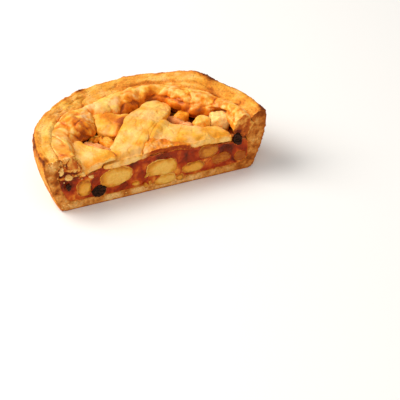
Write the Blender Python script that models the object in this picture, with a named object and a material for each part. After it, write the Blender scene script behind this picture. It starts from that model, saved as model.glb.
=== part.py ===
"""Half of a Dutch apple pie with a lattice top, as cut, modelled in metres with +Z up.

The pie stands on Z = 0. The knife cut faces -Y, and the origin is the middle of the half's footprint.
"""

import math

import bmesh
import bpy
from mathutils import Vector, noise

MM = 0.001
GAP = 0.3 * MM
# How far a hidden cutting copy of a piece stands out from the piece itself, in mm
ROOM = 0.54

# The whole pie
RIM_HEIGHT = 54.0 * MM
STRAIGHT_HEIGHT = 30.0 * MM
CUT_AHEAD = 7.4 * MM
MIDDLE_Y = -46.9 * MM
RING_STEP = 4.0
FULL_TURN = (-90.0, 270.0)

# Height of the rim by angle, counted in degrees from the right end of the cut
RIM_HEIGHTS = ((-12, 55.5), (12, 53.5), (22, 54), (36, 57), (50, 58), (65, 54.5), (80, 52.3), (92, 50.6),
               (101, 49.4), (112, 49), (125, 49.6), (136, 50.6), (146, 51.4), (163, 53), (178, 50.5), (192, 48.5))
# Radius of the crease between the rim and the rolls of dough
CREASE = ((-12, 86), (20, 87), (44, 84), (76, 83), (99, 80), (109, 77.5), (120, 80.5), (128, 86), (160, 87), (192, 85))

# Crust profile, radius and height in mm: up the outside and over the rim to the crease
CRUST_OUTSIDE = (
    (84.0, 0.0), (87.2, 0.8), (92.6, 12.0), (95.6, 20.0), (99.2, 31.0), (100.8, 40.0),
    (101.2, 48.0), (100.2, 52.6), (97.5, 54.0), (92.0, 53.4), (86.0, 51.0), (81.0, 48.4),
)
# and on under the folded-in lip, down the inside of the wall and along the floor
CRUST_LIP = ((80.0, 45.6), (84.0, 44.0), (89.6, 43.0))
CRUST_INSIDE = ((89.2, 31.0), (87.2, 21.0), (83.4, 11.5), (79.0, 7.6), (45.0, 6.4))
FLOOR_MIDDLE = 6.6
LIP_RADIUS = 80.0
LIP_UNDERSIDE_RADIUS = 89.6
RIM_CREST_RADIUS = 97.5
# The wall is this much thicker near the right end of the cut, fading out over some degrees
THICKER_END = 6.0
THICKER_FADE = (-4.0, 30.0)

# Unevenness in mm, given as depth and the size of its bumps
WALL_WAVE = (0.5, 17.0)
RIM_WAVE = (1.1, 9.0)
RIM_CRAG = (1.3, 8.0)
RIM_SWELL = (0.9, 22.0)
ROLL_WAVE = (2.6, 11.0)
ROLL_LUMPS = (1.2, 6.0)
ROLL_TOP_WAVE = (1.8, 11.0)
ROLL_CREASES = (1.8, 16.0)
STRIP_WAVE = (1.1, 13.0)
STRIP_LUMPS = (0.6, 6.0)
FILLING_WAVE = (1.6, 9.0)
FILLING_LUMPS = (0.9, 4.5)
# Fins of crust left standing along the rim: angle, half width in degrees, and height
RIM_FINS = ((108, 6, 3.0), (118, 5, 2.0), (43, 7, 2.4), (33, 5, -1.6))

# Rolls of dough along the rim: angle, inner radius and top height
ROLL_LEFT = ((117.6, 70, 46), (122, 60, 48), (130, 55, 50), (137, 53, 50.5), (144, 55.5, 50), (151, 61, 48.5),
             (158, 67.5, 47.5), (172, 70, 48.5), (182, 69, 47.5), (189, 69, 47.5))
ROLL_BACK = ((-9, 70, 52), (8, 72, 51.5), (18, 71, 50), (24, 65, 49.5), (32, 60, 50), (42, 60, 51), (52, 63, 51.5),
             (58, 69, 51), (66, 71, 51), (74, 67, 51), (82, 62, 51), (92, 57.5, 50.5), (101, 56.5, 49.5),
             (108, 59.5, 49), (113, 66, 48), (117, 74, 46.5))
ROLL_UNDERSIDE = 31.0
# Round of a roll from the crease to its inner foot: share of its width, and share of its height
ROLL_ROUND = ((0.93, 0.93), (0.75, 1.02), (0.55, 1.04), (0.36, 0.98), (0.18, 0.84), (0.05, 0.62), (0.0, 0.38),
              (0.08, 0.14), (0.28, 0.0))

# Lattice strips: x and y of the middle line, height of the top, half width, and lift of the left edge
STRIP_A = ((-60, 46, 42, 8, 0), (-58.5, 30, 42.5, 9.5, 1), (-56, 12, 41.5, 13.5, 3), (-54, -7.4, 40, 17, 6),
           (-52, -26, 40, 18, 6))
STRIP_B = ((-44, -26, 38, 14.5, 0), (-32, -7.4, 39, 15, 0), (-17, 12, 42, 14, 0), (0, 31, 45, 14.5, 0.5),
           (17, 46, 45, 14, 0.5), (28, 54.5, 43.5, 12, 0), (34, 60, 42, 7.5, 0))
STRIP_C = ((-37, 58, 41, 11, 0), (-24, 46, 44, 13, 1.5), (0, 30, 40, 15, 0), (20, 17, 41.5, 17, 1),
           (40, 3, 40, 12, 1.5), (57, -5, 38, 9, 1), (69, -10, 35.5, 4, 0))
STRIP_THICKNESS = 7.2
# How far the long edges are rounded down, and the share of the width by which they wander
STRIP_SHOULDER = 1.4
EDGE_WANDER = 0.07
FLAKE = ((-15, -4, 36.5, 5, 1), (-9, -4, 38.5, 6.5, 2.5), (0, -3, 40.5, 8, 3.5), (12, -4.5, 39, 7, 2.5),
         (22, -6.5, 37, 5, 1), (29, -8, 35.5, 3, 0))
FLAKE_THICKNESS = 3.4

# Top of the filling: radius and height
FILLING_TOP = ((87.4, 29.8), (68.0, 30.4), (57.0, 32.6), (47.0, 34.0), (36.0, 34.4), (24.0, 34.0), (12.0, 33.8))
FILLING_MIDDLE = 33.8
# Hollows between the fruit on top: x, y, radius and depth
HOLLOWS = ((48.4, 36.0, 8.0, 6.0), (58.0, 27.0, 7.0, 6.0), (-34.0, 41.0, 7.0, 5.0), (-40.0, 27.0, 8.0, 1.5))

# Fruit at the cut: x and height of its middle, width, height, depth, tilt in degrees, squareness
CUT_APPLES = {
    "apple_1": (-66.6, 17.8, 12.0, 14.5, 15.0, 4.0, 0.65),
    "apple_2": (-37.6, 21.6, 30.0, 16.6, 22.0, 6.0, 0.85),
    "apple_3": (3.6, 20.3, 27.0, 14.8, 20.0, -3.0, 0.6),
    "apple_4": (6.4, 7.8, 20.0, 8.0, 16.0, 4.0, 0.75),
    "apple_5": (32.4, 13.6, 21.0, 8.8, 18.0, 3.0, 0.85),
    "apple_6": (46.8, 25.6, 18.0, 12.0, 16.0, 12.0, 0.8),
    "apple_7": (58.6, 15.8, 17.0, 8.6, 15.0, 6.0, 0.75),
    "apple_8": (76.2, 13.8, 10.5, 9.0, 12.0, -8.0, 0.7),
    "apple_9": (19.8, 6.6, 6.5, 5.2, 9.0, 0.0, 0.7),
}
CUT_RAISINS = {
    "raisin_1": (-53.2, 11.6, 12.6, 10.6, 11.0, -15.0, 0.95),
    "raisin_2": (-80.4, 22.0, 4.2, 5.4, 6.0, 10.0, 0.95),
    "raisin_3": (73.6, 30.6, 7.6, 11.5, 9.0, 14.0, 0.95),
}
# Fruit lying on top: x, y and height of its middle, its three sizes, turn in degrees, squareness
TOP_APPLES = {
    "apple_10": (51.0, 20.5, 37.5, 13.5, 12.0, 12.0, 20.0, 0.6),
    "apple_11": (68.6, 20.5, 39.5, 16.0, 14.0, 13.5, -12.0, 0.55),
    "apple_12": (38.6, 36.5, 36.2, 12.0, 10.5, 8.0, 35.0, 0.7),
    "apple_13": (-34.5, 26.0, 35.4, 8.0, 14.0, 8.0, 15.0, 0.7),
}

# Which pieces give way to which where they meet; the filling gives way to them all
MAKES_ROOM = {
    "strip_over": ("roll_back",),
    "strip_under": ("strip_over", "roll_left", "roll_back", "apple_10", "apple_11", "raisin_3"),
    "strip_left": ("strip_over", "roll_left"),
    "flake": ("strip_over", "strip_under"),
    "roll_back": ("raisin_3", "apple_11"),
    "crust": ("apple_4", "apple_9", "raisin_1"),
    "apple_2": ("raisin_1",),
    "apple_6": ("strip_under",),
    "apple_12": ("strip_over", "strip_under"),
    "apple_13": ("strip_over", "strip_under"),
}

KNIFE_SIZE = (300.0, 120.0, 200.0)

CRUST_COLOUR = (0.42, 0.19, 0.06)
ROLL_COLOUR = (0.60, 0.27, 0.07)
STRIP_COLOUR = (0.82, 0.52, 0.20)
FLAKE_COLOUR = (0.62, 0.25, 0.06)
FILLING_COLOUR = (0.30, 0.05, 0.012)
APPLE_COLOUR = (0.75, 0.47, 0.10)
RAISIN_COLOUR = (0.03, 0.012, 0.008)


def clamp(share):
    return min(1.0, max(0.0, share))


def ease(share):
    return share * share * (3 - 2 * share)


def between(table, angle):
    """Read a table of (angle, value, ...) rows at any angle, with a smooth change between rows."""
    for low, high in zip(table, table[1:]):
        if angle <= high[0]:
            share = ease(clamp((angle - low[0]) / (high[0] - low[0])))
            return [a + (b - a) * share for a, b in zip(low[1:], high[1:])]
    return list(table[-1][1:])


def through(stations, place):
    """A point on the smooth curve through the stations, with place from 0 at the first to 1 at the last."""
    span = place * (len(stations) - 1)
    index = min(int(span), len(stations) - 2)
    share = span - index
    near = [stations[min(max(index + step, 0), len(stations) - 1)] for step in (-1, 0, 1, 2)]
    point = []
    for a, b, c, d in zip(*near):
        point.append(b + 0.5 * share * (c - a + share * (2 * a - 5 * b + 4 * c - d
                                                         + share * (3 * (b - c) + d - a))))
    return point


def ripple(point, size, shift=0.0):
    """Smooth unevenness from about -1 to 1, whose bumps are about size across."""
    return noise.noise(Vector(point) / size + Vector((shift, shift * 0.7, -shift)))


def wave(point, relief, shift=0.0):
    """Unevenness in metres at a point, for a relief given as its depth and bump size in mm."""
    depth, size = relief
    return depth * MM * ripple(point, size * MM, shift)


def pinch(point, size):
    """Narrow creases that wander across the surface: 1 at the bottom of a crease, 0 between creases."""
    return max(0.0, 1 - 5 * abs(ripple(point, size, 12.0)))


def rim_lift(height, angle):
    """Stretch what lies above the straight part of the wall to the rim's height at this angle."""
    if height <= STRAIGHT_HEIGHT:
        return height
    rim = between(RIM_HEIGHTS, angle)[0] * MM
    return STRAIGHT_HEIGHT + (height - STRAIGHT_HEIGHT) * (rim - STRAIGHT_HEIGHT) / (RIM_HEIGHT - STRAIGHT_HEIGHT)


def to_crease(radius, angle, anchor):
    """Move a radius of the folded-in lip so that the lip ends at the crease of this angle."""
    if radius >= anchor:
        return radius
    crease = between(CREASE, angle)[0] * MM
    return anchor - (anchor - radius) * (anchor - crease) / (anchor - LIP_RADIUS * MM)


def lip_place(radius, height, angle):
    """Radius of a point of the rim, the lip or the inside of the wall at this angle."""
    if height > 45 * MM:
        return to_crease(radius, angle, RIM_CREST_RADIUS * MM)
    if height > 43.4 * MM:
        return to_crease(radius, angle, LIP_UNDERSIDE_RADIUS * MM)
    fade_start, fade_width = THICKER_FADE
    thicker = THICKER_END * MM * (1 - ease(clamp((angle - fade_start) / fade_width)))
    share = clamp((height - 12 * MM) / (18 * MM)) * clamp((43 * MM - height) / (12 * MM))
    return radius - thicker * share if radius < 90 * MM else radius


def material(name, colour, roughness):
    finish = bpy.data.materials.new(name)
    finish.use_nodes = True
    shader = finish.node_tree.nodes["Principled BSDF"]
    shader.inputs["Base Color"].default_value = (*colour, 1.0)
    shader.inputs["Roughness"].default_value = roughness
    shader.inputs["Metallic"].default_value = 0.0
    return finish


def add_object(name, mesh, finish):
    """Close a bmesh into a named object with its normals outward."""
    bmesh.ops.recalc_face_normals(mesh, faces=mesh.faces)
    data = bpy.data.meshes.new(name)
    mesh.to_mesh(data)
    mesh.free()
    data.materials.append(finish)
    data.shade_smooth()
    data.set_sharp_from_angle(angle=math.radians(40))
    piece = bpy.data.objects.new(name, data)
    bpy.context.scene.collection.objects.link(piece)
    return piece


def spun(profile, start, end, closed):
    """Spin a profile of (radius, height) in mm round the pie's axis, and cap the ends of part of a turn."""
    mesh = bmesh.new()
    first = [mesh.verts.new((radius * MM, 0.0, height * MM)) for radius, height in profile]
    edges = [mesh.edges.new(pair) for pair in zip(first, first[1:])]
    if closed:
        edges.append(mesh.edges.new((first[-1], first[0])))
    turn = math.radians(start)
    for vert in first:
        vert.co = Vector((vert.co.x * math.cos(turn), vert.co.x * math.sin(turn), vert.co.z))
    steps = round((end - start) / RING_STEP)
    last = bmesh.ops.spin(mesh, geom=first + edges, cent=(0, 0, 0), axis=(0, 0, 1),
                          angle=math.radians(end - start), steps=steps, use_duplicate=False)["geom_last"]
    if end - start < 360:
        mesh.faces.new(first)
        mesh.faces.new([item for item in last if isinstance(item, bmesh.types.BMVert)])
    bmesh.ops.remove_doubles(mesh, verts=mesh.verts, dist=0.01 * MM)
    return mesh


def move_to_frame(mesh):
    for vert in mesh.verts:
        vert.co.y += MIDDLE_Y


def polar(vert):
    """The vert's radius, and its angle in degrees, from -90 to 270, counted from the right end of the cut."""
    angle = math.degrees(math.atan2(vert.co.y, vert.co.x))
    if angle < -90:
        angle += 360
    return math.hypot(vert.co.x, vert.co.y), angle


def set_polar(vert, radius, angle, height):
    turn = math.radians(angle)
    vert.co = Vector((radius * math.cos(turn), radius * math.sin(turn), height))


def fin(angle, middle, half_width):
    """A bump along the rim that is 1 at its middle and 0 beyond its half width."""
    return max(0.0, 1 - ((angle - middle) / half_width) ** 2)


def make_crust():
    """Bottom, wall and folded-in rim: one shell of shortcrust, baked uneven in its tin."""
    floor_end = ((0.0, FLOOR_MIDDLE),)
    profile = ((0.0, 0.0),) + CRUST_OUTSIDE + CRUST_LIP + CRUST_INSIDE + floor_end
    mesh = spun(profile, *FULL_TURN, closed=False)
    for vert in mesh.verts:
        radius, angle = polar(vert)
        if radius < 0.001 * MM:
            continue
        nominal = radius
        height = rim_lift(vert.co.z, angle)
        radius = lip_place(nominal, vert.co.z, angle)
        outside = radius > 88.0 * MM and height > 1.0 * MM
        on_rim = vert.co.z > 47.0 * MM
        if outside and not on_rim and radius > 91.0 * MM:
            radius += wave(vert.co, WALL_WAVE)
        if on_rim:
            crag = clamp((nominal - LIP_RADIUS * MM) / (7 * MM))
            radius += crag * wave(vert.co, RIM_WAVE)
            height += crag * (wave(vert.co, RIM_CRAG, 3.0) + wave(vert.co, RIM_SWELL, 8.0))
        if vert.co.z > 51.5 * MM and radius > 96.5 * MM:
            height += sum(tall * MM * fin(angle, middle, half) for middle, half, tall in RIM_FINS)
        set_polar(vert, radius, angle, height)
    move_to_frame(mesh)
    return add_object("crust", mesh, material("baked_crust", CRUST_COLOUR, 0.85))


def make_roll(name, table):
    """A thick roll of dough that lies along the inside of the rim, under its folded lip."""
    start, end = table[0][0], table[-1][0]
    clear = GAP / MM
    behind = [(89.2, ROLL_UNDERSIDE), *reversed(CRUST_LIP), (LIP_RADIUS, 47.6)]
    rounded = [(LIP_RADIUS - 2 - index, 47 - index) for index in range(len(ROLL_ROUND))]
    mesh = spun(behind + rounded, start, end, closed=True)
    rows = len(behind) + len(rounded)
    for index, vert in enumerate(mesh.verts):
        corner = index % rows
        radius, angle = polar(vert)
        if corner < len(behind):
            radius = lip_place(radius, vert.co.z, angle) - 1.3 * GAP
            height = rim_lift(vert.co.z, angle) - (1.3 * GAP if corner in (1, 2, 3) else 0.0)
            set_polar(vert, radius, angle, height)
            continue
        inner, top = between(table, angle)
        across, share = ROLL_ROUND[corner - len(behind)]
        radius = inner + (between(CREASE, angle)[0] - clear - inner) * across
        height = ROLL_UNDERSIDE + (top - ROLL_UNDERSIDE) * share
        spot = Vector((angle * 1.2, radius, height)) * MM
        free = clamp(3 * (1 - across))
        radius = radius * MM + (1 - across) * (wave(spot, ROLL_WAVE) + wave(spot, ROLL_LUMPS, 4.0))
        height *= MM
        if share > 0.5:
            depth, size = ROLL_CREASES
            height += free * (wave(spot, ROLL_TOP_WAVE, 9.0) - depth * MM * pinch(spot, size * MM))
        set_polar(vert, radius, angle, height)
    move_to_frame(mesh)
    return add_object(name, mesh, material(name + "_dough", ROLL_COLOUR, 0.45))


def make_strip(name, stations, thickness, along, across, colour):
    """A flat strip of dough that follows its stations, with uneven edges and faces."""
    mesh = bmesh.new()
    bmesh.ops.create_grid(mesh, x_segments=along, y_segments=across, size=0.5)
    skin = bmesh.ops.extrude_face_region(mesh, geom=mesh.faces[:])["geom"]
    upper = {item for item in skin if isinstance(item, bmesh.types.BMVert)}
    for vert in mesh.verts:
        place, side = vert.co.x + 0.5, vert.co.y * 2
        x, y, top, half, lift = through(stations, place)
        ahead = through(stations, min(1.0, place + 0.02))
        behind = through(stations, max(0.0, place - 0.02))
        heading = Vector((ahead[0] - behind[0], ahead[1] - behind[1])).normalized()
        width = half * (1 + EDGE_WANDER * ripple((x, y, 5 * side), 9, 6.0))
        x -= heading.y * side * width
        y += heading.x * side * width
        edge = abs(side) ** 4
        height = top + lift * side
        if vert in upper:
            height -= STRIP_SHOULDER * edge
        else:
            height -= thickness - STRIP_SHOULDER * edge
        spot = Vector((x * MM, y * MM, 0.0))
        uneven = wave(spot, STRIP_WAVE, 1.0) + wave(spot, STRIP_LUMPS, 5.0)
        vert.co = Vector((x * MM, y * MM, height * MM + uneven))
    move_to_frame(mesh)
    return add_object(name, mesh, material(name + "_dough", colour, 0.5))


def make_filling():
    """Apple filling and its jelly, which fills the crust and shows at the cut and between the strips."""
    clear = GAP / MM
    shell = [(radius - clear, height + clear) for radius, height in reversed(CRUST_INSIDE)]
    profile = [(0.0, FLOOR_MIDDLE + clear), *shell[:-1], (88.4 - clear, 28.0), *FILLING_TOP, (0.0, FILLING_MIDDLE)]
    mesh = spun(profile, *FULL_TURN, closed=False)
    for vert in mesh.verts:
        radius, angle = polar(vert)
        height = vert.co.z
        set_polar(vert, lip_place(radius, height, angle), angle, height)
        if height > 29 * MM and radius < 62 * MM:
            rough = clamp((62 * MM - radius) / (12 * MM))
            height += rough * (wave(vert.co, FILLING_WAVE, 2.0) + wave(vert.co, FILLING_LUMPS, 7.0))
            for x, y, reach, depth in HOLLOWS:
                away = math.hypot(vert.co.x - x * MM, vert.co.y - y * MM) / (reach * MM)
                height -= depth * MM * max(0.0, 1 - away * away)
            vert.co.z = height
    move_to_frame(mesh)
    return add_object("filling", mesh, material("apple_jelly", FILLING_COLOUR, 0.3))


def lump(name, middle, size, tilt, turn, squareness, finish):
    """A piece of fruit: a ball squared off towards a block, with uneven sides."""
    mesh = bmesh.new()
    bmesh.ops.create_uvsphere(mesh, u_segments=12, v_segments=8, radius=1.0)
    for vert in mesh.verts:
        squared = [math.copysign(abs(part) ** squareness, part) for part in vert.co]
        spot = Vector(squared)
        spot *= 0.5 * (1 + 0.09 * ripple(spot, 0.9, middle[0] + middle[2]))
        flat = Vector((spot.x * size[0], spot.y * size[1], spot.z * size[2]))
        lean, spin = math.radians(tilt), math.radians(turn)
        x = flat.x * math.cos(lean) - flat.z * math.sin(lean)
        z = flat.x * math.sin(lean) + flat.z * math.cos(lean)
        vert.co = Vector((x * math.cos(spin) - flat.y * math.sin(spin),
                          x * math.sin(spin) + flat.y * math.cos(spin), z)) + Vector(middle)
        vert.co *= MM
    move_to_frame(mesh)
    return add_object(name, mesh, finish)


def grown(piece):
    """A hidden copy of a piece, larger by the gap, that cuts room for it in its neighbours."""
    cutter = bpy.data.objects.new("room_for_" + piece.name, piece.data)
    bpy.context.scene.collection.objects.link(cutter)
    swell = cutter.modifiers.new("swell", "DISPLACE")
    swell.strength = ROOM * MM
    swell.mid_level = 0.0
    cutter.hide_render = True
    cutter.display_type = "WIRE"
    return cutter


def carve(piece, cutters):
    """Take all the cutters out of a piece in one go."""
    tray = bpy.data.collections.new("cuts_" + piece.name)
    bpy.context.scene.collection.children.link(tray)
    for cutter in cutters:
        tray.objects.link(cutter)
    cut = piece.modifiers.new("cuts", "BOOLEAN")
    cut.operation = "DIFFERENCE"
    cut.solver = "EXACT"
    cut.operand_type = "COLLECTION"
    cut.collection = tray


def make_knife():
    """A block in front of the pie whose back face is the knife's cut."""
    mesh = bmesh.new()
    bmesh.ops.create_cube(mesh, size=1.0)
    width, depth, height = KNIFE_SIZE
    bmesh.ops.scale(mesh, vec=(width * MM, depth * MM, height * MM), verts=mesh.verts)
    bmesh.ops.translate(mesh, vec=(0.0, MIDDLE_Y - CUT_AHEAD - depth * MM / 2, 0.0), verts=mesh.verts)
    knife = add_object("knife", mesh, material("knife_blade", (0.5, 0.5, 0.5), 0.3))
    knife.hide_render = True
    knife.display_type = "WIRE"
    return knife


def main():
    for old in list(bpy.data.objects):
        bpy.data.objects.remove(old)

    crust = make_crust()
    roll_left = make_roll("roll_left", ROLL_LEFT)
    roll_back = make_roll("roll_back", ROLL_BACK)
    strip_a = make_strip("strip_left", STRIP_A, STRIP_THICKNESS, 12, 6, STRIP_COLOUR)
    strip_b = make_strip("strip_over", STRIP_B, STRIP_THICKNESS, 18, 6, STRIP_COLOUR)
    strip_c = make_strip("strip_under", STRIP_C, STRIP_THICKNESS, 20, 6, STRIP_COLOUR)
    flake = make_strip("flake", FLAKE, FLAKE_THICKNESS, 10, 4, FLAKE_COLOUR)
    filling = make_filling()

    flesh = material("apple_flesh", APPLE_COLOUR, 0.35)
    skin = material("raisin_skin", RAISIN_COLOUR, 0.4)
    fruit = []
    cut_y = -CUT_AHEAD / MM
    for finish, table in ((flesh, CUT_APPLES), (skin, CUT_RAISINS)):
        for name, (x, z, width, height, depth, tilt, square) in table.items():
            fruit.append(lump(name, (x, cut_y, z), (width, depth, height), tilt, 0, square, finish))
    for name, (x, y, z, width, depth, height, turn, square) in TOP_APPLES.items():
        fruit.append(lump(name, (x, y, z), (width, depth, height), 0, turn, square, flesh))

    pieces = [crust, roll_left, roll_back, strip_a, strip_b, strip_c, flake, filling] + fruit
    room = {piece.name: grown(piece) for piece in pieces if piece is not filling}
    knife = make_knife()
    for piece in pieces:
        neighbours = MAKES_ROOM.get(piece.name, ())
        if piece is filling:
            neighbours = [name for name in room if name != "crust"]
        carve(piece, [room[name] for name in neighbours] + [knife])


main()
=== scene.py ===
# %% [markdown]
# Half of a deep apple pie with a lattice of dough on top.
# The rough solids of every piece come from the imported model. Here each gets a fine skin with the relief of
# baked dough and cooked fruit, and a material that browns, shines and soaks where the real piece does.
# Sizes are in millimetres, which suit a pie better than metres, and MM turns them to metres.

# %% Load the solids
import math
import random

import bmesh
import bpy
from mathutils import Matrix, Vector, noise
from mathutils.bvhtree import BVHTree


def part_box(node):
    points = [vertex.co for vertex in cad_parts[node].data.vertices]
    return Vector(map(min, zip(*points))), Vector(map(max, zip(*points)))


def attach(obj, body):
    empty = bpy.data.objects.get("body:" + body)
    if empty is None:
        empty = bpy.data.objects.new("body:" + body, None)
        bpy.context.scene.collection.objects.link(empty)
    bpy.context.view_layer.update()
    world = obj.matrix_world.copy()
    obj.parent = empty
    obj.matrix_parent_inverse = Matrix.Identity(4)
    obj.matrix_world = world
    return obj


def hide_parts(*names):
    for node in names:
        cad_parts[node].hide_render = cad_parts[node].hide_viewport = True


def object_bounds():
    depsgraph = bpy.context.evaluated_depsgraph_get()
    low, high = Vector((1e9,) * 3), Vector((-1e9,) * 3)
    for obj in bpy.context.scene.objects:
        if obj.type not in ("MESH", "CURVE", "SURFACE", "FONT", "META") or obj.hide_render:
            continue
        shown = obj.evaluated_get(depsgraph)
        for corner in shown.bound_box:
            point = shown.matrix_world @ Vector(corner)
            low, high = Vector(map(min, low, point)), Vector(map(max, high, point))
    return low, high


MM = 0.001
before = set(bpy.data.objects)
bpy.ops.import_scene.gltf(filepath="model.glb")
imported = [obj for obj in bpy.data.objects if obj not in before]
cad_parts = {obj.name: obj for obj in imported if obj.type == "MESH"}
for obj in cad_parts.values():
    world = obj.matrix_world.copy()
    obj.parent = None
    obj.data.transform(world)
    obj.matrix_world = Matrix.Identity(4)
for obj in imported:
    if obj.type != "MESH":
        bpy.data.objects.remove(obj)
cad_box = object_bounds()
cut_y = cad_box[0].y / MM
print("solids:", len(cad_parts), "knife cut at y =", round(cut_y, 1), "mm")

# %% [markdown]
# The camera looks down on the pie from about 32 degrees, turned so that the cut runs up to the right.
# The picture was taken from over a metre and a half away, so a long lens gives the same flat perspective.

# %% Camera
EYE = Vector((-0.5611, -1.3695, 0.8926))
LOOK = Vector((0.3506, 0.7691, -0.5343))
LENS = 180.0
SENSOR = 36.0

lens = bpy.data.cameras.new("photo_view")
lens.lens = LENS
lens.sensor_width = SENSOR
lens.clip_end = 20.0
camera = bpy.data.objects.new("photo_view", lens)
camera.location = EYE
camera.rotation_euler = LOOK.to_track_quat("-Z", "Y").to_euler()
scene = bpy.context.scene
scene.collection.objects.link(camera)
scene.camera = camera
print("camera", [round(part, 3) for part in EYE], "lens", LENS)

# %% [markdown]
# A studio set for food is pale all round. One big soft lamp high behind the pie on the left makes the glazed
# dough gleam, a weaker one in front lifts the shadows in the cut, and a white world does the rest.
# The Standard view transform keeps pastry colours as they are painted, where a filmic one would grey them.

# %% Floor and light
FLOOR_SIZE = 8.0
KEY_LAMP = {"place": (-1.0, 0.7, 1.25), "size": 1.3, "power": 36.0, "tint": (1.0, 0.97, 0.93)}
FRONT_LAMP = {"place": (-0.5, -1.5, 1.1), "size": 1.4, "power": 9.0, "tint": (1.0, 0.98, 0.95)}
SURROUNDINGS = 0.42

FLOOR_COLOUR = (0.93, 0.92, 0.90, 1.0)
FLOOR_ROUGHNESS = 0.6
BACKDROP_COLOUR = (1.0, 0.99, 0.97, 1.0)


def new_object(name, form):
    """An object in the scene with the mesh of a form, which is freed."""
    data = bpy.data.meshes.new(name)
    form.to_mesh(data)
    form.free()
    made = bpy.data.objects.new(name, data)
    scene.collection.objects.link(made)
    return made


bed = bmesh.new()
bmesh.ops.create_grid(bed, x_segments=1, y_segments=1, size=FLOOR_SIZE / 2)
floor = new_object("floor", bed)
floor_finish = bpy.data.materials.new("pale_floor")
floor_finish.use_nodes = True
floor_shader = floor_finish.node_tree.nodes["Principled BSDF"]
floor_shader.inputs["Base Color"].default_value = FLOOR_COLOUR
floor_shader.inputs["Roughness"].default_value = FLOOR_ROUGHNESS
floor.data.materials.append(floor_finish)


def hang_lamp(name, place, size, power, tint):
    """A square soft lamp that points at the pie."""
    light = bpy.data.lights.new(name, "AREA")
    light.size = size
    light.energy = power
    light.color = tint
    lamp = bpy.data.objects.new(name, light)
    lamp.location = place
    lamp.rotation_euler = (-Vector(place)).to_track_quat("-Z", "Y").to_euler()
    scene.collection.objects.link(lamp)


hang_lamp("key_lamp", **KEY_LAMP)
hang_lamp("front_lamp", **FRONT_LAMP)
world = bpy.data.worlds.new("white_studio")
world.use_nodes = True
backdrop = world.node_tree.nodes["Background"]
backdrop.inputs["Color"].default_value = BACKDROP_COLOUR
backdrop.inputs["Strength"].default_value = SURROUNDINGS
scene.world = world
scene.view_settings.view_transform = "Standard"
print("lamps hung, floor", FLOOR_SIZE, "m")

# %% [markdown]
# Dough and fruit have no straight lines, so every piece needs thousands of small even faces for its bumps.
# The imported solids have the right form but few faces. A copy of a solid has its loose triangles merged, and
# then the Remesh modifier in voxel mode rebuilds its skin from small squares of one size. That is the
# quickest way to an even skin on a form with a knife cut, which Subdivision Surface would round away.
# Where a piece ends otherwise than its solid, the copy is cut with a plane before that.

# %% Fine skins
MERGE = 0.02 * MM


def cut_away(form, place, way):
    """Cut off what lies beyond a place in one direction, and close the form there with a flat face."""
    sliced = bmesh.ops.bisect_plane(form, geom=form.verts[:] + form.edges[:] + form.faces[:],
                                    plane_co=place, plane_no=way, clear_outer=True)
    rim = [item for item in sliced["geom_cut"] if isinstance(item, bmesh.types.BMEdge)]
    bmesh.ops.holes_fill(form, edges=rim, sides=0)


def fine_skin(name, node, face_size, trim=None):
    """A new piece with the form of one solid, whose skin is rebuilt from small even faces."""
    form = bmesh.new()
    form.from_mesh(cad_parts[node].data)
    bmesh.ops.remove_doubles(form, verts=form.verts, dist=MERGE)
    if trim:
        trim(form)
    piece = new_object(name, form)
    rebuild = piece.modifiers.new("even_skin", "REMESH")
    rebuild.mode = "VOXEL"
    rebuild.voxel_size = face_size * MM
    rebuild.use_smooth_shade = True
    finished = bpy.data.meshes.new_from_object(piece.evaluated_get(bpy.context.evaluated_depsgraph_get()))
    piece.modifiers.clear()
    piece.data = finished
    finished.name = name
    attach(piece, "root")
    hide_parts(node)
    print(name, len(finished.polygons), "faces")
    return piece


# %% [markdown]
# Baking leaves its marks by place: the high spots of the dough brown first, and the cut shows pale crumb.
# So each piece is shaped by a small rule that is asked about every point of its skin. The rule answers how
# far the point moves out along its normal, how brown it bakes, and whether the knife laid it open as crumb.
# The last two are kept as point attributes, and the materials read them.
# Dough has no sharp edges, so a skin is first moved towards a smoothed copy of itself.
# Edges brown too, so at the end each point is measured against a smoothed copy: what stands above it is a
# crest or an edge, and what lies below it is a fold.

# %% Shaping a skin by a rule
FLAT_BOTTOM = 1.2


def clamp(share):
    return min(1, max(0, share))


def ease(low, high, value):
    """0 below low, 1 above high, and a smooth change between them."""
    share = clamp((value - low) / (high - low))
    return share * share * (3 - 2 * share)


def fade(low, high, value):
    """1 below low, 0 above high, and a smooth change between them."""
    return 1 - ease(low, high, value)


def smoothed(data, rounds):
    """Where each point would lie if the skin were smoothed that many times."""
    skin = bmesh.new()
    skin.from_mesh(data)
    for _ in range(rounds):
        bmesh.ops.smooth_vert(skin, verts=skin.verts, factor=0.5,
                              use_axis_x=True, use_axis_y=True, use_axis_z=True)
    places = [vert.co.copy() for vert in skin.verts]
    skin.free()
    return places


def soften(piece, rounds, share=1, cut_depth=0):
    """Round the edges of a skin off, but not where it stands on the plate, nor so close to the knife cut."""
    data = piece.data
    for vert, place in zip(data.vertices, smoothed(data, rounds)):
        if vert.co.z / MM > FLAT_BOTTOM and vert.co.y / MM > cut_y + cut_depth:
            vert.co = vert.co.lerp(place, share)
    data.update()


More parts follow.
